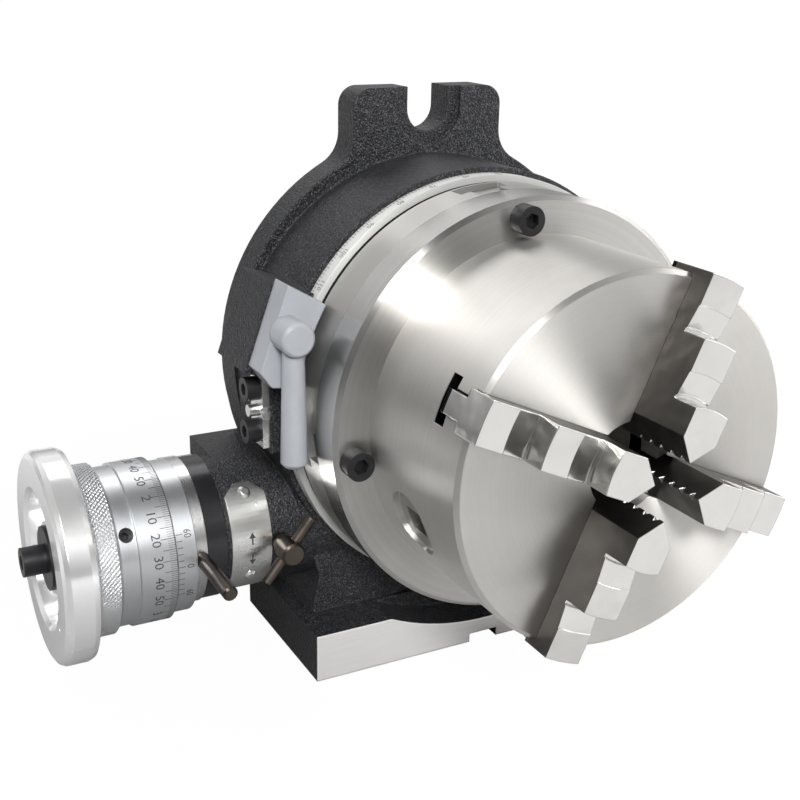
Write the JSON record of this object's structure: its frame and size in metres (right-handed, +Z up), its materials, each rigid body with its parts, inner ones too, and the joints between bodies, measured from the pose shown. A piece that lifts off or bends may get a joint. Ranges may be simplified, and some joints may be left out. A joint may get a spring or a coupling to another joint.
{
  "type": "indexing head",
  "caption": "Worm-driven indexing head on edge: graduated table with adapter flange and self-centring stepped-jaw scroll chuck, eccentric worm sleeve, dial and handwheel.",
  "frame": {"origin": "centre of the machined underside of the foot", "axes": "+X to the side away from the handwheel, -Y out of the chuck's face, +Z up from the foot"},
  "size_m": [0.2455, 0.1786, 0.2065],
  "materials": {
    "base_paint": "textured black enamel",
    "etched_plate": "satin",
    "index_steel": "ground",
    "black_oxide": "black oxide",
    "clamp_paint": "smooth grey enamel",
    "plain_steel": "machined",
    "dark_steel": "oiled dark steel",
    "ground_steel": "ground",
    "turned_steel": "fine turned",
    "jaw_steel": "ground and polished",
    "bronze": "machined",
    "dial_satin": "satin chrome",
    "polished_aluminium": "polished"
  },
  "bodies": {
    "base": {"base_casting": "base_paint", "instruction_plate": "etched_plate", "plate_rivets": "etched_plate", "index_plate": "index_steel", "index_screws": "black_oxide", "index_pin": "index_steel", "clamp_block": "clamp_paint", "clamp_stud": "plain_steel"},
    "clamp_lever": {"clamp_hub": "clamp_paint", "clamp_handle": "clamp_paint"},
    "lock": {"lock_screw": "dark_steel"},
    "lock_cross_bar": {"lock_bar": "dark_steel"},
    "table": {"table": "ground_steel", "worm_wheel": "bronze", "wheel_screws": "black_oxide", "retaining_nut": "black_oxide", "nut_set_screw": "black_oxide", "tee_nuts": "plain_steel", "adapter_flange": "turned_steel", "flange_screws": "black_oxide", "chuck_bolts": "black_oxide", "chuck_body": "turned_steel", "chuck_cover": "turned_steel", "cover_screws": "black_oxide"},
    "scroll": {"scroll_plate": "plain_steel"},
    "pinion_left": {"pinion_1": "ground_steel"},
    "pinion_right": {"pinion_2": "ground_steel"},
    "jaw_upper": {"jaw_1": "jaw_steel"},
    "jaw_left": {"jaw_2": "jaw_steel"},
    "jaw_lower": {"jaw_3": "jaw_steel"},
    "jaw_right": {"jaw_4": "jaw_steel"},
    "sleeve": {"eccentric_sleeve": "ground_steel", "sleeve_collar": "black_oxide", "sleeve_pin": "dark_steel", "vernier_ring": "dial_satin", "vernier_screws": "black_oxide"},
    "worm": {"worm_shaft": "plain_steel", "handwheel": "polished_aluminium", "wheel_key": "plain_steel", "wheel_washer": "black_oxide", "wheel_screw": "black_oxide"},
    "dial": {"dial_drum": "dial_satin", "dial_screw": "black_oxide"}
  },
  "joints": [
    {"name": "table_spin", "type": "hinge", "parent": "base", "child": "table", "pos_m": [0, 0, 0.103], "axis": [0, 1, 0], "continuous": true},
    {"name": "sleeve_swing", "type": "hinge", "parent": "base", "child": "sleeve", "pos_m": [0, 0.007, 0.052], "axis": [1, 0, 0], "range_deg": [0, 50]},
    {"name": "worm_spin", "type": "hinge", "parent": "sleeve", "child": "worm", "pos_m": [0, 0.004, 0.052], "axis": [1, 0, 0], "continuous": true},
    {"name": "dial_zero", "type": "hinge", "parent": "worm", "child": "dial", "pos_m": [0, 0.004, 0.052], "axis": [1, 0, 0], "continuous": true},
    {"name": "clamp_turn", "type": "hinge", "parent": "base", "child": "clamp_lever", "pos_m": [-0.08111, -0.036, 0.13446], "axis": [0, 1, 0], "range_deg": [0, 90]},
    {"name": "lock_turn", "type": "hinge", "parent": "base", "child": "lock", "pos_m": [-0.0785, -0.02, 0.052], "axis": [0, 1, 0], "range_deg": [0, 90]},
    {"name": "bar_slide", "type": "slide", "parent": "lock", "child": "lock_cross_bar", "axis": [0.6293, 0, 0.7771], "range_m": [-0.002, 0.002]},
    {"name": "scroll_spin", "type": "hinge", "parent": "table", "child": "scroll", "pos_m": [0, -0.0801, 0.103], "axis": [0, -1, 0], "range_deg": [-480, 480]},
    {"name": "pinion_left_spin", "type": "hinge", "parent": "table", "child": "pinion_left", "pos_m": [-0.04668, -0.0801, 0.08508], "axis": [-0.9336, 0, -0.3584], "range_deg": [-2881, 2881]},
    {"name": "pinion_right_spin", "type": "hinge", "parent": "table", "child": "pinion_right", "pos_m": [0.04668, -0.0801, 0.12092], "axis": [0.9336, 0, 0.3584], "range_deg": [-2881, 2881]},
    {"name": "jaw_upper_slide", "type": "slide", "parent": "table", "child": "jaw_upper", "axis": [0.4067, 0, 0.9135], "range_m": [-0.0081, 0.0081]},
    {"name": "jaw_left_slide", "type": "slide", "parent": "table", "child": "jaw_left", "axis": [-0.9135, 0, 0.4067], "range_m": [-0.0081, 0.0081]},
    {"name": "jaw_lower_slide", "type": "slide", "parent": "table", "child": "jaw_lower", "axis": [-0.4067, 0, -0.9135], "range_m": [-0.0081, 0.0081]},
    {"name": "jaw_right_slide", "type": "slide", "parent": "table", "child": "jaw_right", "axis": [0.9135, 0, -0.4067], "range_m": [-0.0081, 0.0081]}
  ],
  "couplings": [
    {"joint": "worm_spin", "follows": "table_spin", "ratio": 90},
    {"joint": "pinion_left_spin", "follows": "scroll_spin", "ratio": -6},
    {"joint": "pinion_right_spin", "follows": "scroll_spin", "ratio": -6},
    {"joint": "jaw_upper_slide", "follows": "scroll_spin", "m_per_rad": -0.00095493},
    {"joint": "jaw_left_slide", "follows": "scroll_spin", "m_per_rad": -0.00095493},
    {"joint": "jaw_lower_slide", "follows": "scroll_spin", "m_per_rad": -0.00095493},
    {"joint": "jaw_right_slide", "follows": "scroll_spin", "m_per_rad": -0.00095493}
  ]
}
